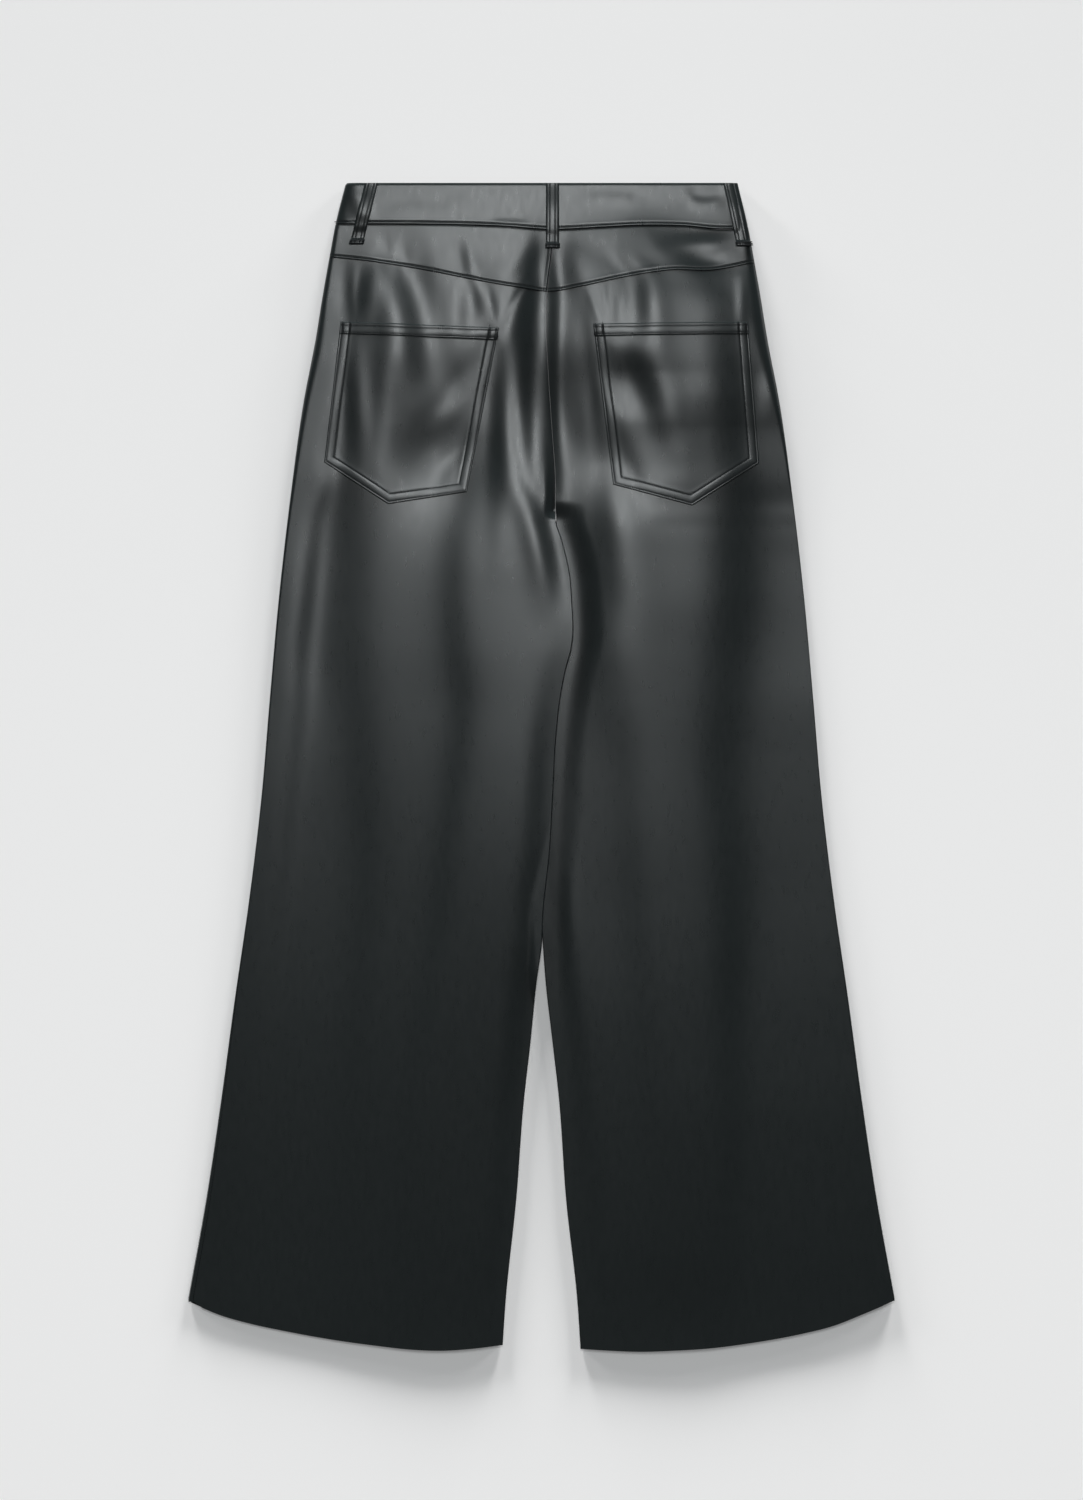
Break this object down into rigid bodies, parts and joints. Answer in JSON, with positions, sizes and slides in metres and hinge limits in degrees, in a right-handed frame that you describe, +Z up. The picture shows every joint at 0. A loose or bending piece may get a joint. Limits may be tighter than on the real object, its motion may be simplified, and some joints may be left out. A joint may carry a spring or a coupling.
{
  "type": "wide-leg trousers laid flat",
  "caption": "High-waisted wide-leg trousers in dark faux leather, laid flat with the back up: waistband, belt loops, back yokes, patch pockets and overlapping legs.",
  "frame": {"origin": "on the table, under the middle of the garment's outline", "axes": "+X across the garment to the right as seen from above, +Y towards the waistband, +Z up from the table through the front to the back of the garment"},
  "size_m": [0.6364, 1.0519, 0.0146],
  "materials": {
    "faux_leather": "satin near-black faux leather with a fine grain",
    "thread": "matt near-black sewing thread"
  },
  "bodies": {
    "root": {"waistband": "faux_leather", "yoke_left": "faux_leather", "yoke_right": "faux_leather", "back_leg_left": "faux_leather", "back_leg_right": "faux_leather", "front_leg_left": "faux_leather", "front_leg_right": "faux_leather", "pocket_left": "faux_leather", "pocket_right": "faux_leather", "belt_loop_left": "faux_leather", "belt_loop_center": "faux_leather", "belt_loop_right": "faux_leather"}
  },
  "joints": []
}
